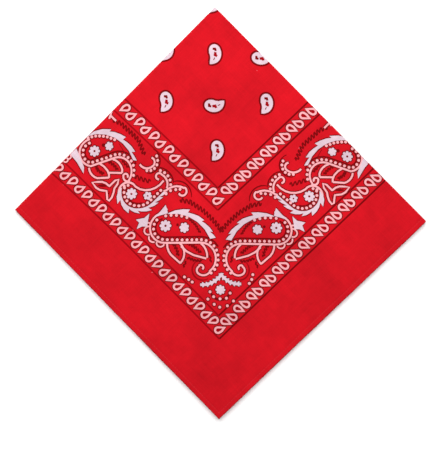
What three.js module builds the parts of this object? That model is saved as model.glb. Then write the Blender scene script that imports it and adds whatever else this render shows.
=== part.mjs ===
// A cotton bandana, folded in half twice and laid flat. The whole cloth is a square with its middle at the
// origin of the fold coordinates. One half of it lies outside the bundle and shows; the other half lies
// inside. Seen from above the folded square stands on its free corner: the upper left side is one fold
// round all four layers, the upper right side is two short folds one above the other, and the lower sides
// show four hemmed edges each.
import * as THREE from "three";

// Sizes, in millimetres.
const SIDE = 275; // side of the folded square, a quarter of a bandana of 550 x 550
const WALL = 1.1; // one layer of cloth, with the air that it holds
const GAP = 0.36; // between layers
const SEAM = 0.5; // between a hem and the cloth inside it, so that uneven layers stay 0.3 apart there
const LAYERS = 4;
const HEIGHT = LAYERS * WALL + (LAYERS - 1) * GAP;
const HEM_WIDTH = 6;
const TURN_BACK = 6; // cloth of the outer half that shows inside the short folds
const BIG_FOLD = HEIGHT / 2; // outer radius of the fold round four layers
const SHORT_FOLD = WALL + GAP / 2; // outer radius of a fold round two layers
const HEM_START = SIDE - HEM_WIDTH + SEAM / 2;
const CLOTH_END = SIDE - HEM_WIDTH - SEAM / 2;

// The outline from above. A cheap bandana is cut a little out of square, so the sides are 269 to 284 long.
const CORNERS = {
  middle: { x: -5.4, y: 194.5 }, // where both folds meet: the middle of the whole cloth
  right: { x: 194.2, y: -7.9 },
  tip: { x: -1.6, y: -194.5 }, // the free corner of all four layers
  left: { x: -194.2, y: 3.2 },
};

// The layers don't lie quite on each other: how far each one reaches past the top one at the hemmed sides.
// Layer 0 lies on the surface.
const LAYER_REACH = [
  { layer: 0, reach: 0.7 },
  { layer: 1, reach: -0.2 },
  { layer: 2, reach: 0.4 },
  { layer: 3, reach: 0 },
];

// Rises of the top over the plain stack of layers.
const PUFF = 0.7; // air in the middle of the bundle
const HEM_RISE = 0.45; // the hems are turned cloth, so the stack is thicker there
const HEM_EASE = 9; // over which the cloth climbs to a hem

// Soft creases. Each has its middle at (a, b), in millimetres in from the upper left and the upper right
// side, and runs at `heading` degrees from the direction in which a grows. A trough has a negative height.
const CREASES = [
  { a: 40, b: 250, heading: 52, length: 46, width: 10, height: 0.55 },
  { a: 20, b: 240, heading: 70, length: 36, width: 10, height: -0.4 },
  { a: 94, b: 240, heading: 38, length: 58, width: 11, height: 0.5 },
  { a: 160, b: 254, heading: -28, length: 44, width: 10, height: -0.4 },
  { a: 206, b: 246, heading: 66, length: 40, width: 12, height: -0.4 },
  { a: 251, b: 251, heading: -44, length: 50, width: 10, height: -0.6 },
  { a: 234, b: 259, heading: -38, length: 40, width: 10, height: 0.45 },
  { a: 254, b: 106, heading: 98, length: 62, width: 10, height: 0.5 },
  { a: 236, b: 114, heading: 92, length: 50, width: 10, height: -0.35 },
  { a: 246, b: 186, heading: 62, length: 56, width: 12, height: 0.5 },
  { a: 60, b: 96, heading: 20, length: 70, width: 18, height: 0.4 },
  { a: 44, b: 64, heading: 34, length: 60, width: 14, height: -0.35 },
  { a: 120, b: 176, heading: 150, length: 80, width: 16, height: 0.35 },
  { a: 172, b: 96, heading: 118, length: 76, width: 15, height: -0.35 },
];

// How finely the solids follow the forms.
const LONG_STEPS = 24; // along a run of cloth, up to where it climbs to the hem
const HEM_STEPS = [HEM_EASE, 5, 2.5]; // the last steps, by their distance from the end of the run
const FOLD_STEPS = 6; // round a fold
const EDGE_STEPS = 4; // round the edge of a hem

// The rise of the top at (a, b).
function rise(a, b) {
  const bulge = (1 - (2 * a / SIDE - 1) ** 4) * (1 - (2 * b / SIDE - 1) ** 4);
  const nearHem = THREE.MathUtils.smoothstep(Math.max(a, b), CLOTH_END - HEM_EASE, CLOTH_END);
  let height = PUFF * Math.max(0, bulge) + HEM_RISE * nearHem;
  for (const crease of CREASES) {
    const heading = THREE.MathUtils.degToRad(crease.heading);
    const da = a - crease.a;
    const db = b - crease.b;
    const along = (da * Math.cos(heading) + db * Math.sin(heading)) / (crease.length / 2);
    const across = (-da * Math.sin(heading) + db * Math.cos(heading)) / crease.width;
    height += crease.height * Math.exp(-across * across - along ** 4);
  }
  return height;
}

// How far the cloth at this height reaches past the top layer, at the hemmed sides.
function reachAt(z) {
  const layer = THREE.MathUtils.clamp((z - WALL / 2) / (WALL + GAP), 0, LAYERS - 1);
  const below = LAYER_REACH[Math.floor(layer)];
  const above = LAYER_REACH[Math.ceil(layer)];
  return THREE.MathUtils.lerp(below.reach, above.reach, layer - below.layer);
}

// The place of a point of the bundle: a in from the upper left side, b in from the upper right side, z up.
function place(a, b, z) {
  const stretch = 1 + reachAt(z) / SIDE;
  const u = (a * stretch) / SIDE;
  const v = (b * stretch) / SIDE;
  const { middle, right, tip, left } = CORNERS;
  const blend = (axis) =>
    (1 - u) * (1 - v) * middle[axis] + u * (1 - v) * right[axis] + u * v * tip[axis] + (1 - u) * v * left[axis];
  return new THREE.Vector3(blend("x"), blend("y"), z * (1 + rise(a, b) / HEIGHT));
}

// The steps of a long run of cloth: even ones up to the climb to the hem, and closer ones from there to the
// end.
function longRun(start, end) {
  const climb = end - HEM_EASE;
  const even = Array.from({ length: LONG_STEPS }, (_, k) => start + ((climb - start) * k) / LONG_STEPS);
  return [...even, ...HEM_STEPS.map((step) => end - step), end];
}

// The outer face of cloth that runs from `far` to a fold of this radius, round it, and away from it again.
// Each station has its distance in from the folded side, its height, and the direction into the cloth. The
// first stretch lies at startHeight, and the second lies below it, or above it if down is -1.
function foldedPath({ far, radius, startHeight, down = 1, second = longRun(radius, far) }) {
  const first = longRun(radius, far).reverse();
  const stations = first.map((run) => ({ run, z: startHeight, inRun: 0, inZ: -down }));
  for (let k = 1; k < FOLD_STEPS; k++) {
    const turn = (Math.PI * k) / FOLD_STEPS;
    stations.push({
      run: radius - radius * Math.sin(turn),
      z: startHeight - down * radius * (1 - Math.cos(turn)),
      inRun: Math.sin(turn),
      inZ: -down * Math.cos(turn),
    });
  }
  stations.push(...second.map((run) => ({ run, z: startHeight - down * 2 * radius, inRun: 0, inZ: down })));
  return stations;
}

// A closed solid through rings of points, with both ends capped. Each patch is split along its shorter
// diagonal, so that layers which lie on each other are split alike. A ring runs along the face of the cloth
// and back along its other side, so that its first point lies opposite its last.
function throughRings(rings) {
  const size = rings[0].length;
  const points = rings.flat();
  const faces = [];
  for (let i = 0; i + 1 < rings.length; i++) {
    for (let j = 0; j < size; j++) {
      const [p, q] = [i * size + j, i * size + ((j + 1) % size)];
      const [r, s] = [q + size, p + size];
      const splitFromP = points[p].distanceTo(points[r]) < points[q].distanceTo(points[s]);
      faces.push(...(splitFromP ? [p, q, r, p, r, s] : [p, q, s, q, r, s]));
    }
  }
  const lastRing = (rings.length - 1) * size;
  for (let j = 0; 2 * j + 2 < size; j++) {
    const [near, next, opposite, nextOpposite] = [j, j + 1, size - 1 - j, size - 2 - j];
    faces.push(opposite, next, near);
    faces.push(lastRing + near, lastRing + next, lastRing + opposite);
    if (next === nextOpposite) continue;
    faces.push(opposite, nextOpposite, next);
    faces.push(lastRing + next, lastRing + nextOpposite, lastRing + opposite);
  }
  const geometry = new THREE.BufferGeometry().setFromPoints(points);
  geometry.setIndex(facesOutwards(points, faces));
  geometry.computeVertexNormals();
  return geometry;
}

// The faces, turned round if they point into the solid.
function facesOutwards(points, faces) {
  let volume = 0;
  for (let i = 0; i < faces.length; i += 3) {
    const [p, q, r] = [points[faces[i]], points[faces[i + 1]], points[faces[i + 2]]];
    volume += p.dot(new THREE.Vector3().crossVectors(q, r));
  }
  if (volume > 0) return faces;
  const turned = [];
  for (let i = 0; i < faces.length; i += 3) turned.push(faces[i], faces[i + 2], faces[i + 1]);
  return turned;
}

// The section of the outer half across the short folds: the layer that shows, its roll over the fold, and
// the stretch that turns back under it. Each point has `across`, in from the upper right side, and its
// depth into the bundle.
function outerSection() {
  const second = [SHORT_FOLD, SHORT_FOLD + TURN_BACK];
  const stations = foldedPath({ far: CLOTH_END, radius: SHORT_FOLD, startHeight: 0, second });
  const face = stations.map((s) => ({ across: s.run, depth: -s.z }));
  const back = stations.map((s) => ({ across: s.run + s.inRun * WALL, depth: -s.z - s.inZ * WALL }));
  return [...face, ...back.reverse()];
}

// The section of a hem, this deep in the bundle: a flat strip whose outer edge is the rounded turn of the
// cloth.
function hemSection(depth) {
  const radius = WALL / 2;
  const middle = (HEM_START + SIDE) / 2;
  const section = [{ across: HEM_START, depth }, { across: middle, depth }];
  for (let k = 0; k <= EDGE_STEPS; k++) {
    const turn = (Math.PI * k) / EDGE_STEPS;
    section.push({
      across: SIDE - radius + radius * Math.sin(turn),
      depth: depth + radius * (1 - Math.cos(turn)),
    });
  }
  section.push({ across: middle, depth: depth + WALL }, { across: HEM_START, depth: depth + WALL });
  return section;
}

// A solid whose section is carried from `far` to the big fold, round it, and back to `far` on the
// underside.
function roundBigFold(section, far) {
  const stations = foldedPath({ far, radius: BIG_FOLD, startHeight: HEIGHT });
  return throughRings(
    stations.map((s) => section.map((p) => place(s.run + s.inRun * p.depth, p.across, s.z + s.inZ * p.depth))),
  );
}

// A hem of the lower right side, bent double at a short fold. It starts at the top face or at the
// underside.
function hemRoundShortFold(startHeight, down) {
  const stations = foldedPath({ far: CLOTH_END, radius: SHORT_FOLD, startHeight, down });
  const section = hemSection(0);
  return throughRings(
    stations.map((s) => section.map((p) => place(p.across, s.run + s.inRun * p.depth, s.z + s.inZ * p.depth))),
  );
}

// The two hidden layers, as one slab with a round nose inside the big fold.
function innerHalf() {
  const low = WALL + GAP;
  const run = longRun(BIG_FOLD, CLOTH_END);
  const section = run.map((a) => ({ a, z: low })).reverse();
  for (let k = 1; k < FOLD_STEPS; k++) {
    const turn = (Math.PI * k) / FOLD_STEPS;
    section.push({ a: BIG_FOLD - SHORT_FOLD * Math.sin(turn), z: low + SHORT_FOLD * (1 - Math.cos(turn)) });
  }
  section.push(...run.map((a) => ({ a, z: HEIGHT - low })));
  const start = SHORT_FOLD + TURN_BACK + SEAM;
  const stepsOfTheLayerOver = longRun(SHORT_FOLD, CLOTH_END).filter((b) => b > start);
  return throughRings([start, ...stepsOfTheLayerOver].map((b) => section.map((p) => place(p.a, b, p.z))));
}

const printedCotton = new THREE.MeshStandardMaterial({ color: 0xd81624, roughness: 0.92, metalness: 0 });
const hiddenCotton = new THREE.MeshStandardMaterial({ color: 0xb81420, roughness: 0.95, metalness: 0 });
const hemCotton = new THREE.MeshStandardMaterial({ color: 0xcb1522, roughness: 0.92, metalness: 0 });

const bundle = new THREE.Group();

function add(name, geometry, material) {
  const mesh = new THREE.Mesh(geometry, material);
  mesh.name = name;
  bundle.add(mesh);
}

add("outer_half", roundBigFold(outerSection(), CLOTH_END), printedCotton);
add("inner_half", innerHalf(), hiddenCotton);
add("hem_outer", roundBigFold(hemSection(0), SIDE), hemCotton);
add("hem_inner", roundBigFold(hemSection(WALL + GAP), SIDE), hemCotton);
add("hem_upper", hemRoundShortFold(HEIGHT, 1), hemCotton);
add("hem_lower", hemRoundShortFold(0, -1), hemCotton);

// The part's origin is under the middle of the bundle's box, on the surface that it lies on.
const box = new THREE.Box3().setFromObject(bundle, true);
const centre = box.getCenter(new THREE.Vector3());
bundle.position.set(-centre.x, -centre.y, -box.min.z);

const bandana = new THREE.Group();
bandana.add(bundle);

export default bandana;
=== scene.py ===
import itertools
from math import atan2, ceil, cos, exp, hypot, pi, radians, sin

import bpy
import numpy as np
from mathutils.geometry import delaunay_2d_cdt
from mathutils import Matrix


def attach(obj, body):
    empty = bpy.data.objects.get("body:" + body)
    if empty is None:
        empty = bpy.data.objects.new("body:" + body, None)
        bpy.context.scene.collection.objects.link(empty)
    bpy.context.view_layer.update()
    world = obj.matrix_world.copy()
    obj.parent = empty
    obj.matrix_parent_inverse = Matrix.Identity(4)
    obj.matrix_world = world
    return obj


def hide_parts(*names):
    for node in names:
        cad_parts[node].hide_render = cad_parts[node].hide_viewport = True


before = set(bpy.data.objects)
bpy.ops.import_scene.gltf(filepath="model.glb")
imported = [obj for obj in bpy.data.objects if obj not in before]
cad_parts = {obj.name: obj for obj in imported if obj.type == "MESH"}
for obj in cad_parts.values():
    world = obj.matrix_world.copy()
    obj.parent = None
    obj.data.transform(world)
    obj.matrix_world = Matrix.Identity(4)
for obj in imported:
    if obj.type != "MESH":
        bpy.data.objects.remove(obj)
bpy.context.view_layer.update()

# The printed cloth.
# The half of a thin cotton square that lies outside when it is folded in half twice: one fold goes round
# all four layers, and two short folds lead to the half that is hidden. Its print is white and dark ink on
# red cotton, and its edges are turned under and stitched down.

# Sizes in millimetres, as the solids have them. (p, q) are the coordinates of the flat cloth. p counts from
# the upper left side, where the fold round all the layers is, and q from the upper right side with the short
# folds. Past the middle of a fold they turn negative. (a, b) run the same two ways over the folded square.
SIDE = 275
WALL = 1.1  # one layer with the air that it holds
GAP = 0.36  # between layers
HEIGHT = 4 * WALL + 3 * GAP
BIG_FOLD = HEIGHT / 2  # radius of the fold round four layers
SHORT_FOLD = WALL + GAP / 2
BIG_MIDDLE = BIG_FOLD * (1 - pi / 2)  # p in the middle of the big fold
SHORT_MIDDLE = SHORT_FOLD * (1 - pi / 2)
HEM_BACK = 6  # cloth turned under at a hem
RIGHT_TURN = 0.50  # radius of the turned edge, at the lower right side
LEFT_TURN = 0.55  # and at the lower left side
TIP_TURN = 0.24  # the right hem is pressed flat where the left hem is folded over it
TIP_REACH = 16
TURN_BACK = 6  # printed cloth that lies inside the short folds
CLOTH = 0.2  # thickness of the cotton
STITCH_IN = 4.2  # the stitching, in from the edge
TROUGH = 0.13  # how deep it pulls the cloth in
TROUGH_WIDTH = 0.8  # to each side of it
MM = 0.001

CORNERS = np.array([[-5.4, 194.5], [194.2, -7.9], [-1.6, -194.5], [-194.2, 3.2]])
LAYER_REACH = [0.7, -0.2, 0.4, 0.0]  # how far each layer reaches past the top one at the hems, from below
STRAY = 0.15  # how far a layer's edge strays from straight
PUFF = 0.7  # air in the middle of the bundle
HEM_RISE = 0.45  # the hems are turned cloth, so the stack is thicker there
HEM_EASE = 9  # over which the cloth climbs to a hem
HEM_INSIDE = 268.75  # where the single cloth ends and the hem starts

# Soft creases: a, b, heading in degrees from the way in which a grows, length, width, height.
CREASES = [
    (40, 250, 52, 46, 10, 0.55), (20, 240, 70, 36, 10, -0.40), (94, 240, 38, 58, 11, 0.50),
    (160, 254, -28, 44, 10, -0.40), (206, 246, 66, 40, 12, -0.40), (251, 251, -44, 50, 10, -0.60),
    (234, 259, -38, 40, 10, 0.45), (254, 106, 98, 62, 10, 0.50), (236, 114, 92, 50, 10, -0.35),
    (246, 186, 62, 56, 12, 0.50), (60, 96, 20, 70, 18, 0.40), (44, 64, 34, 60, 14, -0.35),
    (120, 176, 150, 80, 16, 0.35), (172, 96, 118, 76, 15, -0.35),
]


def smooth(x, low, high):
    """0 up to low, 1 from high on, and an even climb between them."""
    t = np.clip((x - low) / (high - low), 0, 1)
    return t * t * (3 - 2 * t)


def rise(a, b):
    """How much higher than the plain stack the top lies."""
    bulge = (1 - (2 * a / SIDE - 1) ** 4) * (1 - (2 * b / SIDE - 1) ** 4)
    height = PUFF * np.maximum(0, bulge)
    height += HEM_RISE * smooth(np.maximum(a, b), HEM_INSIDE - HEM_EASE, HEM_INSIDE)
    for crease_a, crease_b, heading, length, width, crease_height in CREASES:
        way = radians(heading)
        along = ((a - crease_a) * cos(way) + (b - crease_b) * sin(way)) / (length / 2)
        across = (-(a - crease_a) * sin(way) + (b - crease_b) * cos(way)) / width
        height += crease_height * np.exp(-across**2 - along**4)
    return height


def round_turn(run, radius, start):
    """Cloth that turns under at `start`: where it is, its depth, and the way into the cloth."""
    turn = np.clip((run - start) / radius, 0, pi)
    past = np.maximum(run - start - pi * radius, 0)
    reached = np.where(run < start, run, start + radius * np.sin(turn) - past)
    return reached, radius * (1 - np.cos(turn)), -np.sin(turn), np.cos(turn)


def strayed(layer, along):
    """How far a layer's hem strays from straight, along it."""
    return STRAY * (np.sin(along / 31 + 2.1 * layer) + 0.6 * np.sin(along / 13 + 4.4 * layer))


def laid(a, b, z):
    """The places of points of the bundle, in metres."""
    layer = np.clip((z - WALL / 2) / (WALL + GAP), 0, 3)
    reach = np.interp(layer, range(4), LAYER_REACH)
    u = (a * (SIDE + reach + strayed(layer, b)) / SIDE**2)[:, None]
    v = (b * (SIDE + reach + strayed(layer + 5, a)) / SIDE**2)[:, None]
    middle, right, tip, left = CORNERS
    xy = (1 - u) * (1 - v) * middle + u * (1 - v) * right + u * v * tip + (1 - u) * v * left
    return np.column_stack([xy - centre, z * (1 + rise(a, b) / HEIGHT)]) * MM


def folded(p, q, inward=0.0):
    """The places of points of the cloth, from its flat coordinates. inward is the depth in the cloth."""
    behind = p < BIG_MIDDLE
    inside = q < SHORT_MIDDLE
    run = np.where(behind, 2 * BIG_MIDDLE - p, p)
    across = np.where(inside, 2 * SHORT_MIDDLE - q, q)

    radius = RIGHT_TURN + (TIP_TURN - RIGHT_TURN) * smooth(across, SIDE - TIP_REACH, SIDE - 3)
    a, depth, way_a, way_down = round_turn(run, radius, SIDE - radius)
    a, depth = a + way_a * inward, depth + way_down * inward

    b, sunk, way_b, way_in = round_turn(across, LEFT_TURN, SIDE - LEFT_TURN)
    rolls = across < SHORT_FOLD
    turn = np.clip((SHORT_FOLD - across) / SHORT_FOLD, 0, pi / 2)
    b = np.where(rolls, SHORT_FOLD * (1 - np.sin(turn)), b)
    sunk = np.where(rolls, SHORT_FOLD * (1 - np.cos(turn)), sunk)
    way_b = np.where(rolls, np.sin(turn), way_b)
    way_in = np.where(rolls, np.cos(turn), way_in)
    sunk = np.where(inside, 2 * SHORT_FOLD - sunk, sunk)
    way_in = np.where(inside, -way_in, way_in)
    b, sunk = b + way_b * depth, sunk + way_in * depth

    pull = TROUGH * np.exp(-((SIDE - STITCH_IN - np.maximum(run, across)) / TROUGH_WIDTH) ** 2)
    sunk = sunk + np.where(inward > 0, 0, pull)

    turn = np.clip((BIG_FOLD - run) / BIG_FOLD, 0, pi / 2)
    a = np.where(run < BIG_FOLD, BIG_FOLD - (BIG_FOLD - sunk) * np.sin(turn), a)
    z = BIG_FOLD + (BIG_FOLD - sunk) * np.cos(turn)
    return laid(a, b, np.where(behind, HEIGHT - z, z))


def run_steps(step):
    """Stations from the end of a turned hem to the fold: close ones round the turn and the stitching."""
    start = SIDE - RIGHT_TURN
    end = start + pi * RIGHT_TURN + HEM_BACK
    turned = [end, end - 3] + [start + pi * RIGHT_TURN * k / 6 for k in range(6, -1, -1)]
    stitched = [SIDE - STITCH_IN + d for d in (3, 2.1, 1.2, 0.6, 0, -0.6, -1.2, -2.1, -3.5)]
    first = stitched[-1] - step
    count = round((first - 2 * BIG_FOLD) / step)
    even = [first + (BIG_FOLD - first) * k / count for k in range(count + 1)]
    return turned + stitched + even


p_steps = run_steps(3) + [BIG_FOLD + (BIG_MIDDLE - BIG_FOLD) * k / 6 for k in range(1, 7)]
p_steps = sorted(set(p_steps + [2 * BIG_MIDDLE - p for p in p_steps]))
q_inside = 2 * SHORT_MIDDLE - SHORT_FOLD
q_steps = run_steps(3) + [SHORT_FOLD] + [SHORT_FOLD + (q_inside - SHORT_FOLD) * k / 8 for k in range(1, 9)]
q_steps = sorted(q_steps + [q_inside - TURN_BACK / 2, q_inside - TURN_BACK])

# The bundle's box is centred over the origin.
centre = np.zeros(2)
grid_p, grid_q = (g.ravel() for g in np.meshgrid(p_steps, q_steps, indexing="ij"))
sample = folded(grid_p, grid_q) / MM
centre = (sample.min(axis=0) + sample.max(axis=0))[:2] / 2

# The print, drawn on one quarter: x is p and y is q.
# The inks: bare cloth, white, its thinner coat in drawn lines, dark, and a thin coat of dark.
RED, WHITE, STROKE, DARK, FAINT = range(5)
INK_LINE = 1.8  # width of a drawn line
THIN_LINE = 1.6  # width of the lines that edge the bands
INK_EDGE = 0.95  # the dark ink that edges every white shape
under_shapes = []
over_shapes = []


def whole_area(outline):
    """Twice the outline's area, negative where it runs clockwise."""
    return sum(ax * by - bx * ay for (ax, ay), (bx, by) in zip(outline, outline[1:] + outline[:1]))


def grown(outline, by):
    """A closed outline, moved outwards."""
    side = by if whole_area(outline) > 0 else -by
    moved = []
    for (ax, ay), (x, y), (bx, by) in zip(outline[-1:] + outline[:-1], outline, outline[1:] + outline[:1]):
        run = max(hypot(bx - ax, by - ay), 0.05)
        moved.append((x + (by - ay) / run * side, y - (bx - ax) / run * side))
    return moved


def ink(colour, outline, over=False):
    """One shape of the print. White shapes get a dark edge, and dark ones lie under the white."""
    if colour in (WHITE, STROKE):
        under_shapes.append((DARK, grown(outline, INK_EDGE)))
    if colour in (DARK, FAINT) and not over:
        under_shapes.append((colour, outline))
    else:
        over_shapes.append((colour, outline))


def bow(x, y, radius, start, end, last_radius=None):
    """Points of an arc round (x, y), from one angle to another. With a last radius it is a spiral."""
    steps = max(2, ceil(abs(end - start) / 15))
    last = radius if last_radius is None else last_radius
    points = []
    for k in range(steps + 1):
        angle = radians(start + (end - start) * k / steps)
        reach = radius + (last - radius) * k / steps
        points.append((x + reach * cos(angle), y + reach * sin(angle)))
    return points


def beside(points, distances):
    """The points moved to the left of the way along them, each by its own distance."""
    moved = []
    for k, (x, y) in enumerate(points):
        ax, ay = points[max(k - 1, 0)]
        bx, by = points[min(k + 1, len(points) - 1)]
        run = hypot(bx - ax, by - ay)
        moved.append((x + (by - ay) / run * distances[k], y - (bx - ax) / run * distances[k]))
    return moved


def shares(points):
    """How far along each point is, from 0 at the first to 1 at the last, and the whole length."""
    sums = [0.0]
    for (ax, ay), (bx, by) in zip(points, points[1:]):
        sums.append(sums[-1] + hypot(bx - ax, by - ay))
    return [s / sums[-1] for s in sums], sums[-1]


def at_share(points, share):
    """The place at this share of the way, and the heading there."""
    along, _ = shares(points)
    for k in range(1, len(points)):
        if share <= along[k] or k == len(points) - 1:
            t = (share - along[k - 1]) / (along[k] - along[k - 1])
            (ax, ay), (bx, by) = points[k - 1], points[k]
            return ax + (bx - ax) * t, ay + (by - ay) * t, atan2(by - ay, bx - ax)


def line(points, width=INK_LINE, colour=STROKE, start=1.0, end=1.0, over=False):
    """A drawn line. start and end are the shares of its width that it has there."""
    along, _ = shares(points)
    half = [width / 2 * (start + (1 - start) * min(1, s * 4)) * (end + (1 - end) * min(1, (1 - s) * 4))
            for s in along]
    ink(colour, beside(points, half) + beside(points, [-h for h in half])[::-1], over)


def dot(x, y, radius=1.4, colour=STROKE, over=False):
    """A round spot of ink."""
    ink(colour, [(x + radius * cos(pi * k / 5), y + radius * sin(pi * k / 5)) for k in range(10)], over)


def beads(points, away, spacing=5.0, start=0.0, end=1.0, last=None):
    """A row of dots beside a line, this far away on its left at its start, and `last` at its end."""
    change = 0 if last is None else last - away
    side = beside(points, [away + change * s for s in shares(points)[0]])
    _, length = shares(side)
    count = max(2, round(length * (end - start) / spacing) + 1)
    for k in range(count):
        x, y, _ = at_share(side, start + (end - start) * k / (count - 1))
        dot(x, y)


def blossom(x, y, radius, petals, middle):
    """A round flower with scalloped petals."""
    outline = []
    for k in range(petals * 6):
        angle = 2 * pi * k / (petals * 6)
        reach = radius * (0.7 + 0.3 * abs(cos(petals * angle / 2)) ** 0.6)
        outline.append((x + reach * cos(angle), y + reach * sin(angle)))
    ink(WHITE, outline)
    if middle:
        dot(x, y, radius * 0.2, DARK, over=True)


def frill(points, teeth, overhang=2.0, notch=0.6):
    """A white leaf edge along a line, cut into teeth that point along it. Each tooth has the share of the
    way at which it ends, and its reach to the left there. It starts at the notch's share of its reach."""
    base = [at_share(points, k / 24)[:2] for k in range(25)]
    outline = []
    began = 0
    for ends, reach in teeth:
        first = notch if began else 0.15
        for part, rise_share in ((0.06, 0), (0.4, 0.4), (0.75, 0.75)):
            x, y, angle = at_share(points, began + (ends - began) * part)
            height = reach * (first + (1 - first) * rise_share)
            outline.append((x + sin(angle) * height, y - cos(angle) * height))
        x, y, angle = at_share(points, ends)
        outline.append((x + sin(angle) * reach + cos(angle) * overhang,
                        y - cos(angle) * reach + sin(angle) * overhang))
        began = ends
    ink(WHITE, outline + base[::-1])


def feather(points, reach, barbs):
    """A line with short barbs on both sides."""
    line(points, 2.6, WHITE)
    for k in range(barbs):
        x, y, angle = at_share(points, (k + 0.1) / barbs)
        for side in (-1, 1):
            lean = angle + side * radians(58)
            line([(x, y), (x + reach * cos(lean), y + reach * sin(lean))], 2.4, WHITE, end=0.4)


def scribble(points, swing, pitch, width=1.4):
    """A dark wavy line that shades the ground beside a motif, as of a quick pen."""
    _, length = shares(points)
    waves = max(2, round(length / pitch))
    wavy = []
    for k in range(6 * waves + 1):
        x, y, angle = at_share(points, k / (6 * waves))
        side = swing * sin(2 * pi * k / 6) * (0.8 + 0.2 * sin(k))
        wavy.append((x + side * (sin(angle) + 0.4 * cos(angle)), y - side * (cos(angle) - 0.4 * sin(angle))))
    line(wavy, width, DARK)


def sag(x, most, power=2):
    """How far the print sags where it nears the big fold, along the lower left side."""
    return most * (max(0, 150 - x) / 150) ** power


# The four thin lines that edge the two bands of drops: where each starts at the short folds, where it
# turns, how far it sags, and how soon.
for first, x, y, most, power in ((121.8, 119.9, 120.3, 4.2, 1.8), (137.2, 134.6, 135.3, 4.4, 1.3),
                                 (206.9, 205.2, 206.1, 3.2, 1.3), (222.2, 221.2, 221.2, 4, 2.5)):
    line([(first, -9), (x, y)], THIN_LINE, DARK)
    line([(x * (1 - k / 9), y + sag(x * (1 - k / 9), most, power)) for k in range(10)] + [(-2, y + most)],
         THIN_LINE, FAINT)

DROP_ROUND = 3.65  # radius of a drop's round end
DROP_SIDE = 2.2  # radius of its fuller side
SIDE_OUT = 2.8  # from the middle of the round end to the middle of the fuller side
SIDE_TURN = 22  # degrees between the ways to the fuller side and to the tip
DROP_TIP = 8.4  # from the middle of the round end to the tip
DROP_LINE = 1.95  # width of its white outline
TIP_DRAW = 1.85  # how much faster than its sides the hole's tip draws in


def drop(x, y, heading, full_side):
    """A drop of the narrow bands, drawn round its own cloth. (x, y) is the middle of its round end."""
    for colour, inset in ((STROKE, 0), (FAINT, DROP_LINE)):
        side_x, side_y = SIDE_OUT * cos(radians(SIDE_TURN)), SIDE_OUT * sin(radians(SIDE_TURN))
        side = bow(side_x, side_y, DROP_SIDE - inset, 58, 80)
        outline = [(DROP_TIP - TIP_DRAW * inset, 0)] + side + bow(0, 0, DROP_ROUND - inset, 80, 296)
        way_x, way_y = cos(radians(heading)), sin(radians(heading))
        turned = []
        for along, across in outline:
            out = full_side * across
            turned.append((x + along * way_x - out * way_y, y + along * way_y + out * way_x))
        ink(colour, turned, over=True)


for k in range(7):
    drop(131.2 - 0.27 * k, 3.6 + 17.45 * k, 155, -1)
    drop(127.1 - 0.27 * k, 13.2 + 17.35 * k, -23, -1)
for k in range(12):
    slack = sin(pi * k / 11)
    drop(216.1 - 0.9 * slack, 4.3 + 17.5 * k, 157, -1)
    drop(212.4 - 0.7 * slack, 13.5 + 17.5 * k, -23, -1)
    for x, y, heading in ((205.8 - 18.5 * k, 211.5, 113), (195.4 - 18.5 * k, 215.5, -66)):
        if x > 0:
            drop(x, y + sag(x, 4.2, 2.2), heading, 1)
for k in range(7):
    for x, y, heading in ((119.3 - 18.6 * k, 125.6, 112), (127.5 - 18.75 * k, 130.3, -66)):
        drop(x, y + sag(x, 3.8, 1.9), heading, 1)
drop(214.4, 216.3, -68, 1)

strip_start = len(under_shapes), len(over_shapes)

# Three paisleys stand in the border between the bands, from the short folds down to the corner.
# The upper one is cut by the folds.
scribble([(150, 4), (147.2, 12), (146.8, 34), (152.5, 48)], 2.6, 3.9)
line([(149, 7), (149, -0.5)])
line([(145.8, -2), (152, 0.8)])
head = bow(184, 10.5, 12.8, -120, 36)
body = head + bow(180, 40, 13, 240, 98)
line(beside(body, [-5.3] * len(body))[:-4], 1.4, DARK)
beads(body, -3.3, 4.4, 0.02, 0.93, -2.4)
line(body + bow(177, 49.2, 4.5, 80, -50, 3.6) + bow(177.9, 48.2, 2.6, -60, -260, 1.9))
frill(bow(195, 27, 36, 241, 153), [(0.36, -6), (0.62, -6.2), (0.86, -5), (1, -3)])
beads(bow(195, 27, 34.4, 240, 196), 0, 3.6)
blossom(182.3, 10.5, 5.2, 8, True)
blossom(169.6, 17.6, 4, 6, False)
dot(172.7, 13, 1.7, DARK)
ink(WHITE, [(192, -4), (200, -4), (200.8, 6), (203.8, 18), (199.5, 14.5), (196.3, 7)])
for x in (202.5, 206.5):
    line(bow(x, -3.2, 2.2, 200, -20), 1.4)
line(bow(188, 25, 11.2, -40, 28) + [(190, 37.6)])
line([(187, 21.8), (186, 27), (186.3, 32), (187.6, 35.4), (190, 38)])
line([(187, 34.2), (178.3, 43.4)])
line(bow(187, 34.5, 13, 208, 148) + [(178.3, 43.4)])
scribble([(190.5, 20.5), (192.3, 26), (191, 32)], 1.7, 2.6)
scribble([(179.5, 27), (178.5, 33), (179.3, 38.5)], 1.6, 2.6)
scribble([(169, 33), (170.5, 38), (170.5, 45)], 1.2, 3)
line([(161.5, 23), (163.5, 31)], 1.4, DARK, 0.4, 0.4)
line([(195, 43.7), (195.4, 39.5), (197, 36), (200, 33), (203.8, 29.8), (204.7, 35.8), (203.6, 40),
      (201.5, 42.8), (199.8, 45), (202, 48), (204.4, 51), (204, 53.2), (200, 52.8), (196, 50.8),
      (193, 48.6), (188, 47.7), (184.6, 45.4), (187.6, 43.8), (195.4, 43.7)])
line([(197, 41.5), (199.5, 38.5), (202.2, 35.5)], 2.6, DARK, 0.4, 0.4)
line([(198, 47.3), (203, 50.6)], 1.6, DARK, 0.4, 0.4)

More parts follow.
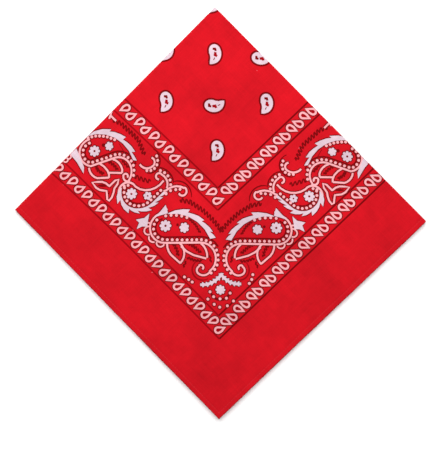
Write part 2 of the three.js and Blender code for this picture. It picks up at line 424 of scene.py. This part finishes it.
# The middle one lies head up, with its tail curled in two hooks and a third hook over it.
line(bow(186, 60.2, 9, -40, -172) + bow(158.3, 58.8, 19, 8, 98))
neck = bow(178, 66.6, 16.5, -56, 88) + [(160, 84.6)]
line(beside(neck, [-4.9] * len(neck))[:-3], 1.4, DARK)
frill(neck, [(0.16, 6.2), (0.34, 5.6), (0.46, 4.6), (0.61, 5), (0.73, 4.2), (0.84, 3.6), (0.94, 2.8), (1, 1)],
      2.8, 0.4)
beads(neck, -2.6, 4.1, 0.0, 0.92)
dot(181.6, 55.6)
dot(184.8, 53.6)
line(bow(162.9, 74.9, 10.5, 112, 192) + bow(155.4, 71.8, 2.9, 185, 400))
line([(163, 84.2)] + bow(163, 101, 15.7, 262, 196) + bow(151, 97.6, 3.9, 190, -20))
beads(bow(162.9, 74.9, 13.4, 130, 205), 0, 4)
beads(bow(163.5, 99.5, 12, 268, 220), 0, 4.2)
dot(151.3, 94.6)
line(bow(151.5, 51.6, 9.6, -6, 82) + bow(152.1, 57.2, 4, 95, 215))
beads(bow(152.3, 55.4, 8.4, 165, 30), 0, 4)
for contour in (bow(152.3, 55.4, 10.8, 205, 35), bow(162.9, 74.9, 16.2, 135, 215),
                bow(158, 97, 14, 240, 130)):
    line(contour, 1.3, DARK, 0.5, 0.5)
scribble([(171.5, 54), (168, 61.5), (164, 69)], 2.4, 3.9)
blossom(184.3, 63.5, 5.3, 8, True)
blossom(175.6, 75.8, 4, 6, True)

# The lower one is the largest, with a collar of scallops and two petals on its back.
LOWER_DOWN = 1.9  # how much further down it stands than it is drawn here
lower_start = len(under_shapes), len(over_shapes)
scribble([(158, 99), (152.5, 108), (150, 122), (149.8, 135), (151, 147)], 2.6, 3.9)
body = bow(185.5, 106.5, 14, -114, 45) + bow(182.5, 150.5, 14.7, 222, 82)
line(beside(body, [-5.3] * len(body))[:-6], 1.4, DARK)
beads(body, -3.4, 4.5, 0.05, last=-2.2)
line([(172, 95.8)] + body + bow(186, 158.6, 7.2, 100, 0)
     + bow(188.6, 158.4, 4.6, 0, -100, 3.6) + bow(187.9, 157, 2.9, -105, -270, 2))
frill(bow(200, 130, 39.5, 231, 158), [(0.36, -6.4), (0.64, -5.6), (0.88, -5.4), (1, -5)])
ink(WHITE, [(170.6, 92.2), (179, 92.6), (186, 92.4), (180, 95.5), (174.5, 99), (172.5, 96)])
beads(bow(200, 130, 38.2, 234, 203), 0, 5)
blossom(184, 105.5, 5.5, 8, True)
blossom(173, 119.5, 4.7, 7, False)
dot(175.5, 113, 1.3, DARK)
for x, y, radius, start, end in ((194.3, 93.4, 1.7, 0, 330), (198.3, 97.4, 3.7, -120, 70),
                                 (199.4, 105.4, 4.2, -62, 62), (198, 113.6, 3.7, -56, 112)):
    line(bow(x, y, radius, start, end), 1.5)
line(bow(183.5, 129.5, 15.4, -46, 10) + [(198.2, 140.3)])
line(bow(198.5, 127.5, 12.8, 185, 90))
line(bow(157, 131.5, 30, -4, 24) + [(178.5, 154.3)])
line(bow(187, 143, 15, 188, 130))
for path, swing in (([(190, 123), (192, 130), (195, 134)], 1.7),
                    ([(181, 130), (178.5, 138), (178.5, 147)], 1.7),
                    ([(164, 118), (163.8, 126), (166, 134)], 1.1),
                    ([(190, 141), (187, 148), (183, 153)], 1.4),
                    ([(193, 143), (199, 145)], 1), ([(174, 155), (178, 160)], 0.9)):
    scribble(path, swing, 2.8)
line(bow(187.5, 159.5, 10, 75, -95), 1.5, FAINT, 0.5, 0.5)
ink(WHITE, [(186.5, 86.6), (192.5, 86.3), (199, 81.8), (199, 86), (204.8, 88.6), (199.5, 90.5), (196.5, 94),
            (192, 90.5)])
for shapes, start in zip((under_shapes, over_shapes), lower_start):
    shapes[start:] = [(colour, [(x, y + LOWER_DOWN) for x, y in outline])
                      for colour, outline in shapes[start:]]


def turned_over(x, y):
    """Where the lower left side has this point. The print runs a little out of line there."""
    run = 0.99 * y + 4.3 + 0.07 * min(0, x - 178)
    return run, 1.06 * x - 13.1 + sag(y, 0.8) + 1.5 * exp(-((y - 66) / 14) ** 2)


# The same run of paisleys stands along the lower left bands, turned over the corner's diagonal.
for shapes, start in zip((under_shapes, over_shapes), strip_start):
    shapes += [(colour, [turned_over(x, y) for x, y in outline]) for colour, outline in shapes[start:]]
for x, y in ((200, 155), (202.5, 159), (203.5, 163.3), (157, 203.5), (161.5, 202.3), (165.5, 201.6)):
    dot(x, y)

# In the corner, a flower with a ring of dots between two feathers.
line(bow(189, 187.8, 9.3, -50, 130), 2.4, DARK, 0.5, 0.5)
feather([(178.3, 176.8), (184, 177), (190, 176), (195, 173), (198.6, 169.2)], 2.8, 6)
feather([(179.6, 176), (179.8, 182), (179, 188), (176.5, 193.5), (172.5, 198)], 2.8, 6)
blossom(189, 187.5, 4.7, 8, False)
for x, y in ((197.5, 183), (198.5, 189), (194.8, 193.8), (189.2, 196.8), (183.6, 196), (205, 186),
             (204.2, 193.4), (200.2, 199.6), (194.7, 201.5), (187.1, 202.4)):
    dot(x, y)

# The border is the same on the quarter beneath.
for shapes in (under_shapes, over_shapes):
    shapes[:] = [(colour, [(max(x, BIG_MIDDLE), y) for x, y in outline]) for colour, outline in shapes]
    shapes += [(colour, [(2 * BIG_MIDDLE - x, y) for x, y in outline]) for colour, outline in shapes]

COMMA_LONG = 0.96  # its drawing is stretched by this much along the diagonal
COMMA_WIDE = 0.86  # and across it
COMMA_EDGE = 1.8


def comma(x, y, flip):
    """The small paisley of the field: a round head, a bowed back, and a tip that curls in."""
    outline = (bow(-2.2, -2.2, 6.2, 132, 268) + bow(-2.5, 1.9, 10.4, -80, 34)
               + [(5.2, 9.2), (3.3, 11.2), (1.4, 9.2), (-0.2, 6.6), (-2.4, 4.8), (-4.8, 3.8)])
    outline = [(COMMA_LONG * (px + py) / 2 + COMMA_WIDE * (px - py) / 2,
                COMMA_LONG * (px + py) / 2 - COMMA_WIDE * (px - py) / 2) for px, py in outline]
    for colour, shape in ((DARK, grown(outline, COMMA_EDGE)), (WHITE, outline)):
        ink(colour, [(x + px, y + flip * py) for px, py in shape])
    for mark, width, colour in (([(-4.6, -2), (-2.8, -3.6), (-1, -2.6)], 2.8, DARK),
                                ([(-0.6, -1.6), (1.2, 0.6), (3.2, 0)], 3.2, FAINT),
                                ([(2.6, 2.6), (3.4, 5)], 1.2, DARK)):
        line([(x + px, y + flip * py) for px, py in mark], width, colour, 0.7, 0.7, over=True)


# The small paisleys of the field stand in rows right across the fold.
TWO_ROWS = 131
for along in (0, -TWO_ROWS):
    for x, y in ((30.1, 32), (95.7, 30), (29.1, 97.8), (94.4, 95.6)):
        comma(x + along, y, 1)
    for x, y in ((63.2, 67.5), (63, 2.8), (-3.7, 67.2), (-3.6, 1.6)):
        comma(x + along, y, -1)

print_shapes = under_shapes + over_shapes


def wound(points, outline):
    """Which points the outline runs round."""
    px, py = points.T[:, :, None]
    ax, ay = np.array(outline).T
    bx, by = np.roll(ax, -1), np.roll(ay, -1)
    side = (bx - ax) * (py - ay) - (px - ax) * (by - ay)
    upwards = (ay <= py) & (by > py) & (side > 0)
    downwards = (ay > py) & (by <= py) & (side < 0)
    return upwards.sum(axis=1) != downwards.sum(axis=1)


LONGEST_EDGE = 2.5  # along the outline of a shape, so that it follows the cloth over the folds


def cut_cloth(p_at, q_at, shapes):
    """Triangles of flat cloth between these stations, and the ink on each of them."""
    columns, rows = np.meshgrid(p_at, q_at, indexing="ij")
    points = [tuple(point) for point in np.column_stack([columns.ravel(), rows.ravel()])]
    edges = []
    for _, outline in shapes:
        first = len(points)
        for (ax, ay), (bx, by) in zip(outline, outline[1:] + outline[:1]):
            parts = max(1, ceil(hypot(bx - ax, by - ay) / LONGEST_EDGE))
            stops = [(ax + (bx - ax) * k / parts, ay + (by - ay) * k / parts) for k in range(parts)]
            points += [(min(max(x, p_at[0]), p_at[-1]), min(max(y, q_at[0]), q_at[-1])) for x, y in stops]
        edges += [(k, k + 1) for k in range(first, len(points) - 1)] + [(len(points) - 1, first)]
    found = delaunay_2d_cdt(points, edges, [], 0, 1e-4, False)
    flat, faces = np.array([tuple(v) for v in found[0]]), np.array(found[2])
    middles = flat[faces].mean(axis=1)
    inks = np.full(len(faces), RED)
    for colour, outline in shapes:
        low, high = np.min(outline, axis=0), np.max(outline, axis=0)
        near = np.flatnonzero(((middles > low) & (middles < high)).all(axis=1))
        inks[near[wound(middles[near], outline)]] = colour
    return flat, faces, inks


def rim(points):
    """Which points lie on the edge of the cut cloth."""
    low, high = points.min(axis=0), points.max(axis=0)
    return ((points == low) | (points == high)).any(axis=1)


def wrong_side(flat, p_at, q_at):
    """Triangles for the wrong side: its own stations, and every point that the face has on the rim."""
    columns, rows = np.meshgrid(p_at[1:-1], q_at[1:-1], indexing="ij")
    edge = flat[rim(flat)]
    points = np.vstack([edge, np.column_stack([columns.ravel(), rows.ravel()])])
    links = []
    for corner in itertools.product(*zip(flat.min(axis=0), flat.max(axis=0))):
        reach = np.linalg.norm(points - corner, axis=1)
        links.append((int(reach[:len(edge)].argmin()), len(edge) + int(reach[len(edge):].argmin())))
    found = delaunay_2d_cdt([tuple(point) for point in points], links, [], 0, 1e-5, True)
    return np.array([tuple(v) for v in found[0]]), np.array(found[2])


def outward_normals(p, q):
    """The normals of the cloth's face, from the places of points close by."""
    step = 0.02
    along = folded(p + step, q) - folded(p - step, q)
    across = folded(p, q + step) - folded(p, q - step)
    normals = np.cross(across, along)
    return normals / np.linalg.norm(normals, axis=1)[:, None]


UV_SIZE = 600  # millimetres of flat cloth across the whole UV square


def cloth_mesh(name, flat, faces, flat_back, faces_back):
    """A thin closed sheet: the face of the cloth, and its wrong side joined to it round the rim."""
    count = len(flat)
    edge_back = np.flatnonzero(rim(flat_back))
    places = {tuple(np.round(flat[k], 3)): k for k in np.flatnonzero(rim(flat))}
    index = np.zeros(len(flat_back), dtype=int)
    inner = np.setdiff1d(np.arange(len(flat_back)), edge_back)
    index[inner] = count + np.arange(len(inner))
    for k in edge_back:
        index[k] = places[tuple(np.round(flat_back[k], 3))]
    points = np.vstack([folded(*flat.T), folded(*flat_back[inner].T, inward=CLOTH)])
    all_faces = np.vstack([faces[:, ::-1], index[faces_back]])
    mesh = bpy.data.meshes.new(name)
    mesh.from_pydata(points.tolist(), [], all_faces.tolist())
    low = flat.min(axis=0)
    uv_face = (flat - low) / UV_SIZE
    uv_back = (flat_back - low) / UV_SIZE + (0, 0.5)
    corners = np.vstack([uv_face[faces[:, ::-1]].reshape(-1, 2), uv_back[faces_back].reshape(-1, 2)])
    mesh.uv_layers.new(name="OFBake").data.foreach_set("uv", corners.ravel())
    mesh.shade_smooth()
    normals = np.vstack([outward_normals(*flat.T), -outward_normals(*flat_back[inner].T)])
    mesh.normals_split_custom_set_from_vertices(normals.tolist())
    piece = bpy.data.objects.new(name, mesh)
    bpy.context.scene.collection.objects.link(piece)
    return piece


flat, faces, inks = cut_cloth(p_steps, q_steps, print_shapes)
flat_back, faces_back = wrong_side(flat, p_steps[::2], q_steps[::2])
printed_cloth = cloth_mesh("printed_cloth", flat, faces, flat_back, faces_back)
values = np.append(inks, [RED] * len(faces_back))
printed_cloth.data.attributes.new("ink", "FLOAT", "FACE").data.foreach_set("value", values)


def node(tree, kind, inputs=(), **settings):
    """A new node. Each input is a socket with its value, or with the output that feeds it."""
    made = tree.nodes.new(kind)
    for name, value in settings.items():
        setattr(made, name, value)
    for socket, value in inputs:
        if isinstance(value, bpy.types.NodeSocket):
            tree.links.new(value, made.inputs[socket])
        else:
            made.inputs[socket].default_value = value
    return made


def calc(tree, operation, *values):
    """What a math node gives for these values or outputs."""
    return node(tree, "ShaderNodeMath", enumerate(values), operation=operation).outputs[0]


def weighted(tree, start, *parts):
    """start and each output times its weight, all added up."""
    total = start
    for weight, output in parts:
        total = node(tree, "ShaderNodeMath", ((0, output), (1, weight), (2, total)),
                     operation="MULTIPLY_ADD").outputs[0]
    return total


def noise(tree, flat, size, detail=2.0, stretch=(1, 1, 1)):
    """Noise over the flat cloth, with patches of this size in millimetres."""
    vector = node(tree, "ShaderNodeMapping", (("Vector", flat), ("Scale", stretch))).outputs[0]
    return node(tree, "ShaderNodeTexNoise", (("Vector", vector), ("Scale", 1 / size), ("Detail", detail),
                                             ("Roughness", 0.55))).outputs[0]


RED_DYE = (0.475, 0.0038, 0.0096)
INKS = [(0.54, 0.41, 0.465), (0.70, 0.315, 0.335), (0.145, 0, 0.001), (0.25, 0, 0.003)]  # WHITE to FAINT
INK_STEP = 0.2  # from one ink to the next on the colour ramp
LINT = (0.75, 0.22, 0.26)
LINT_APART = 13
LINT_SIZE = 0.5
LINT_SHARE = 0.22  # of the places where lint could lie
LINT_COVER = 0.5
YARN = 0.42  # width of one thread of the weave


def cotton(name, dye, inked):
    """Dyed cotton in plain weave. Threads show as a fine bump, thick ones as faint streaks both ways. The dye
    is a little uneven, the cloth rumpled, and pale lint lies on it."""
    material = bpy.data.materials.new(name)
    material.use_nodes = True
    tree = material.node_tree
    surface = tree.nodes["Principled BSDF"]
    for socket, value in (("Roughness", 0.9), ("Specular IOR Level", 0.08), ("Sheen Weight", 0.12),
                          ("Sheen Roughness", 0.45), ("Sheen Tint", (0.9, 0.16, 0.18, 1))):
        surface.inputs[socket].default_value = value

    uv = node(tree, "ShaderNodeUVMap", uv_map="OFBake").outputs[0]
    flat = node(tree, "ShaderNodeVectorMath", ((0, uv), ("Scale", UV_SIZE)), operation="SCALE").outputs[0]
    place = node(tree, "ShaderNodeSeparateXYZ", ((0, flat),)).outputs
    across_p, across_q = (calc(tree, "SINE", calc(tree, "MULTIPLY", place[k], pi / YARN)) for k in (0, 1))
    over = calc(tree, "GREATER_THAN", calc(tree, "MULTIPLY", across_p, across_q), 0)
    weave = node(tree, "ShaderNodeMix", ((0, over), (2, calc(tree, "ABSOLUTE", across_p)),
                                         (3, calc(tree, "ABSOLUTE", across_q)))).outputs[0]
    warp_slub = noise(tree, flat, 1, 1, (1.1, 0.03, 1))
    weft_slub = noise(tree, flat, 1, 1, (0.03, 1.1, 1))
    cloud = noise(tree, flat, 48, 3)
    patch = noise(tree, flat, 11, 3)

    tone = weighted(tree, 0.42, (0.50, cloud), (0.30, patch), (0.18, warp_slub), (0.18, weft_slub))
    colour = dye
    if inked:
        mark = node(tree, "ShaderNodeAttribute", attribute_name="ink").outputs["Fac"]
        ramp = node(tree, "ShaderNodeValToRGB", ((0, calc(tree, "MULTIPLY", mark, INK_STEP)),))
        ramp.color_ramp.interpolation = "CONSTANT"
        ramp.color_ramp.elements[0].color = (*dye, 1)
        ramp.color_ramp.elements[1].position = INK_STEP / 2
        ramp.color_ramp.elements[1].color = (*INKS[0], 1)
        for k in (1, 2, 3):
            ramp.color_ramp.elements.new(INK_STEP * (k + 0.5)).color = (*INKS[k], 1)
        colour = ramp.outputs[0]
    toned = node(tree, "ShaderNodeVectorMath", ((0, colour), ("Scale", tone)), operation="SCALE").outputs[0]

    cells = node(tree, "ShaderNodeTexVoronoi", (("Vector", flat), ("Scale", 1 / LINT_APART)))
    chance = node(tree, "ShaderNodeSeparateXYZ", ((0, cells.outputs["Color"]),)).outputs[0]
    close = calc(tree, "LESS_THAN", cells.outputs["Distance"], LINT_SIZE / LINT_APART)
    speck = calc(tree, "MULTIPLY", close, calc(tree, "LESS_THAN", chance, LINT_SHARE))
    lint = calc(tree, "MULTIPLY", speck, LINT_COVER)
    linted = node(tree, "ShaderNodeMix", ((0, lint), (6, toned), (7, (*LINT, 1))),
                  data_type="RGBA").outputs[2]
    tree.links.new(linted, surface.inputs["Base Color"])

    rumple = noise(tree, flat, 24, 2)
    crinkle = noise(tree, flat, 7, 2)
    height = weighted(tree, 0.0, (0.03, weave), (0.06, warp_slub), (0.06, weft_slub), (0.9, rumple),
                      (0.16, crinkle))
    bump = node(tree, "ShaderNodeBump", (("Height", height), ("Distance", MM)))
    tree.links.new(bump.outputs[0], surface.inputs["Normal"])
    return material


printed_cloth.data.materials.append(cotton("printed cotton", RED_DYE, True))
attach(printed_cloth, "root")
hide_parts("outer_half", "hem_outer", "hem_upper", "hem_lower")

# The hidden half.
# The other half of the square lies inside the bundle, print to print, and shows only as the edges between
# the outer layers. It is the same cotton, turned at its edges in the same way and pulled in where its
# stitching runs, but its thread is not built.
inner_q = sorted([2 * SHORT_MIDDLE - q for q in run_steps(6) if q > SHORT_FOLD + TURN_BACK] + [q_steps[0]])
inner_p = run_steps(6) + [BIG_FOLD + (BIG_MIDDLE - BIG_FOLD) * k / 3 for k in range(1, 4)]
inner_p = sorted(set(inner_p + [2 * BIG_MIDDLE - p for p in inner_p]))
flat, faces, _ = cut_cloth(inner_p, inner_q, [])
flat_back, faces_back = wrong_side(flat, inner_p, inner_q)
inner_cloth = cloth_mesh("inner_cloth", flat, faces, flat_back, faces_back)
inner_cloth.data.materials.append(cotton("hidden cotton", RED_DYE, False))
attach(inner_cloth, "root")
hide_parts("inner_half", "hem_inner")

# The hem stitches.
# Each hem is closed by one row of lockstitch in red cotton thread, a shade paler than the cloth. The thread
# lies in the trough that it pulls. The longest row runs on round the big fold.
STITCH_PITCH = 2.8
STITCH_LENGTH = 2.35  # so that a short gap parts the stitches
THREAD_WIDTH = 0.42
THREAD_FLAT = 0.75  # its thickness, as a share of its width
THREAD_SINK = 0.03  # how deep it beds into the cloth
THREAD_RED = (0.56, 0.013, 0.022)


def seam(p, q):
    """The points of a row of stitches, and which way is up at each."""
    p, q = np.broadcast_arrays(np.asarray(p, dtype=float), np.asarray(q, dtype=float))
    up = outward_normals(p, q)
    return folded(p, q) - up * THREAD_SINK * MM, up


row = SIDE - STITCH_IN
long_row = [p for p in p_steps if 2 * BIG_MIDDLE - row - 0.1 < p < row + 0.1]
short_row = [q for q in q_steps if SHORT_FOLD + STITCH_LENGTH / 2 < q < row + 0.1]
seams = [seam(long_row, row), seam(row, short_row), seam(2 * BIG_MIDDLE - row, short_row)]
lengths = [len(points) for points, _ in seams]
starts = [sum(lengths[:k]) for k in range(len(lengths))]
edges = [(k, k + 1) for start, length in zip(starts, lengths) for k in range(start, start + length - 1)]
stitch_mesh = bpy.data.meshes.new("hem_stitches")
stitch_mesh.from_pydata(np.vstack([points for points, _ in seams]).tolist(), edges, [])
up_values = np.vstack([up for _, up in seams])
stitch_mesh.attributes.new("up", "FLOAT_VECTOR", "POINT").data.foreach_set("vector", up_values.ravel())
hem_stitches = bpy.data.objects.new("hem_stitches", stitch_mesh)
bpy.context.scene.collection.objects.link(hem_stitches)

thread = bpy.data.materials.new("hem thread")
thread.use_nodes = True
stitch_mesh.materials.append(thread)
tree = thread.node_tree
surface = tree.nodes["Principled BSDF"]
for socket, value in (("Roughness", 0.75), ("Specular IOR Level", 0.25), ("Sheen Weight", 0.1)):
    surface.inputs[socket].default_value = value
twist_uv = node(tree, "ShaderNodeAttribute", attribute_name="twist").outputs["Vector"]
part = node(tree, "ShaderNodeSeparateXYZ", ((0, twist_uv),)).outputs
ply = calc(tree, "SINE", weighted(tree, 0.0, (4 * pi, part[0]), (24, part[1])))
spot = node(tree, "ShaderNodeTexCoord").outputs["Object"]
fade = node(tree, "ShaderNodeTexNoise", (("Vector", spot), ("Scale", 90))).outputs[0]
# The thread's colour: uneven dye from the noise, and painted shade from the twist, darker in its grooves and
# lighter on its crests.
fade_and_twist_shade = weighted(tree, 0.75, (0.5, fade), (0.08, ply))
tinted = node(tree, "ShaderNodeVectorMath", ((0, THREAD_RED), ("Scale", fade_and_twist_shade)),
              operation="SCALE").outputs[0]
tree.links.new(tinted, surface.inputs["Base Color"])
twist_bump = node(tree, "ShaderNodeBump", (("Height", ply), ("Distance", 0.03 * MM)))
tree.links.new(twist_bump.outputs[0], surface.inputs["Normal"])

tree = bpy.data.node_groups.new("row of stitches", "GeometryNodeTree")
tree.interface.new_socket("Geometry", in_out="INPUT", socket_type="NodeSocketGeometry")
stitch_inputs = (("Pitch", STITCH_PITCH * MM), ("Stitch Length", STITCH_LENGTH * MM),
                 ("Thread Width", THREAD_WIDTH * MM), ("Flatness", THREAD_FLAT))
for name, _ in stitch_inputs:
    tree.interface.new_socket(name, in_out="INPUT", socket_type="NodeSocketFloat")
tree.interface.new_socket("Geometry", in_out="OUTPUT", socket_type="NodeSocketGeometry")
given = node(tree, "NodeGroupInput").outputs
line_in = node(tree, "GeometryNodeMeshToCurve", ((0, given["Geometry"]),)).outputs[0]
spaced = node(tree, "GeometryNodeResampleCurve", (("Curve", line_in), ("Length", given["Pitch"])),
              mode="LENGTH").outputs[0]
half_width = calc(tree, "MULTIPLY", given["Thread Width"], 0.5)
ball = node(tree, "GeometryNodeMeshUVSphere", (("Segments", 8), ("Rings", 6), ("Radius", 1)))
marked = node(tree, "GeometryNodeStoreNamedAttribute", (("Geometry", ball.outputs[0]), ("Name", "twist"),
              ("Value", ball.outputs[1])), data_type="FLOAT2", domain="CORNER").outputs[0]
size = node(tree, "ShaderNodeCombineXYZ", ((0, calc(tree, "MULTIPLY", half_width, given["Flatness"])),
            (1, half_width), (2, calc(tree, "MULTIPLY", given["Stitch Length"], 0.5)))).outputs[0]
loop = node(tree, "GeometryNodeTransform", (("Geometry", marked), ("Rotation", (0, pi / 2, 0)),
            ("Scale", size)))
up = node(tree, "GeometryNodeInputNamedAttribute", (("Name", "up"),), data_type="FLOAT_VECTOR").outputs[0]
upright = node(tree, "FunctionNodeAlignRotationToVector", (("Vector", up),), axis="Z").outputs[0]
tangent = node(tree, "GeometryNodeInputTangent").outputs[0]
turned = node(tree, "FunctionNodeAlignRotationToVector", (("Rotation", upright), ("Vector", tangent)),
              axis="X", pivot_axis="Z").outputs[0]
stretch = node(tree, "FunctionNodeRandomValue", ((2, 0.88), (3, 1.1), ("Seed", 4))).outputs[1]
scale = node(tree, "ShaderNodeCombineXYZ", ((0, stretch), (1, 1), (2, 1))).outputs[0]
placed = node(tree, "GeometryNodeInstanceOnPoints", (("Points", spaced), ("Instance", loop.outputs[0]),
              ("Rotation", turned), ("Scale", scale))).outputs[0]
real = node(tree, "GeometryNodeRealizeInstances", ((0, placed),)).outputs[0]
finished = node(tree, "GeometryNodeSetMaterial", (("Geometry", real), ("Material", thread))).outputs[0]
node(tree, "NodeGroupOutput", ((0, finished),))

modifier = hem_stitches.modifiers.new("stitches", "NODES")
modifier.node_group = tree
sockets = {item.name: item.identifier for item in tree.interface.items_tree if item.in_out == "INPUT"}
for name, value in stitch_inputs:
    modifier[sockets[name]] = value
depsgraph = bpy.context.evaluated_depsgraph_get()
hem_stitches_mesh = bpy.data.meshes.new_from_object(hem_stitches.evaluated_get(depsgraph))
hem_stitches.modifiers.clear()
hem_stitches.data = hem_stitches_mesh
hem_stitches.data.shade_smooth()
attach(hem_stitches, "root")

# The studio: a pale floor, a broad soft light over the far side, and an even pale surround.
FLOOR = 3  # metres from its middle to its edge
floor_mesh = bpy.data.meshes.new("floor")
floor_mesh.from_pydata([(-FLOOR, -FLOOR, 0), (FLOOR, -FLOOR, 0), (FLOOR, FLOOR, 0), (-FLOOR, FLOOR, 0)], [],
                       [(0, 1, 2, 3)])
floor = bpy.data.objects.new("floor", floor_mesh)
bpy.context.scene.collection.objects.link(floor)
paper = bpy.data.materials.new("pale floor")
paper.use_nodes = True
surface = paper.node_tree.nodes["Principled BSDF"]
surface.inputs["Base Color"].default_value = (0.95, 0.95, 0.95, 1)
surface.inputs["Roughness"].default_value = 0.9
floor_mesh.materials.append(paper)

world = bpy.data.worlds.new("studio")
world.use_nodes = True
world.node_tree.nodes["Background"].inputs["Color"].default_value = (1, 1, 1, 1)
world.node_tree.nodes["Background"].inputs["Strength"].default_value = 0.5
bpy.context.scene.world = world

key_data = bpy.data.lights.new("key", "AREA")
key_data.shape = "DISK"
key_data.size = 1.1
key_data.energy = 10.25
key = bpy.data.objects.new("key", key_data)
key.location = (-0.03, 0.36, 0.70)
key.rotation_euler = (radians(-28), radians(-3), 0)
bpy.context.scene.collection.objects.link(key)

# The camera looks straight down through a long lens.
IMAGE = (433, 476)
PIXEL = 0.9443  # millimetres of cloth across one pixel
IMAGE_CENTRE = (-3.83, -23.87)
LENS = 135
SENSOR = 36
camera_data = bpy.data.cameras.new("camera")
camera_data.lens = LENS
camera_data.sensor_width = SENSOR
camera_data.clip_end = 20
camera = bpy.data.objects.new("camera", camera_data)
distance = LENS / SENSOR * IMAGE[1] * PIXEL
camera.location = ((IMAGE_CENTRE[0] - centre[0]) * MM, (IMAGE_CENTRE[1] - centre[1]) * MM,
                   (HEIGHT + distance) * MM)
bpy.context.scene.collection.objects.link(camera)
bpy.context.scene.camera = camera
bpy.context.scene.view_settings.view_transform = "Standard"
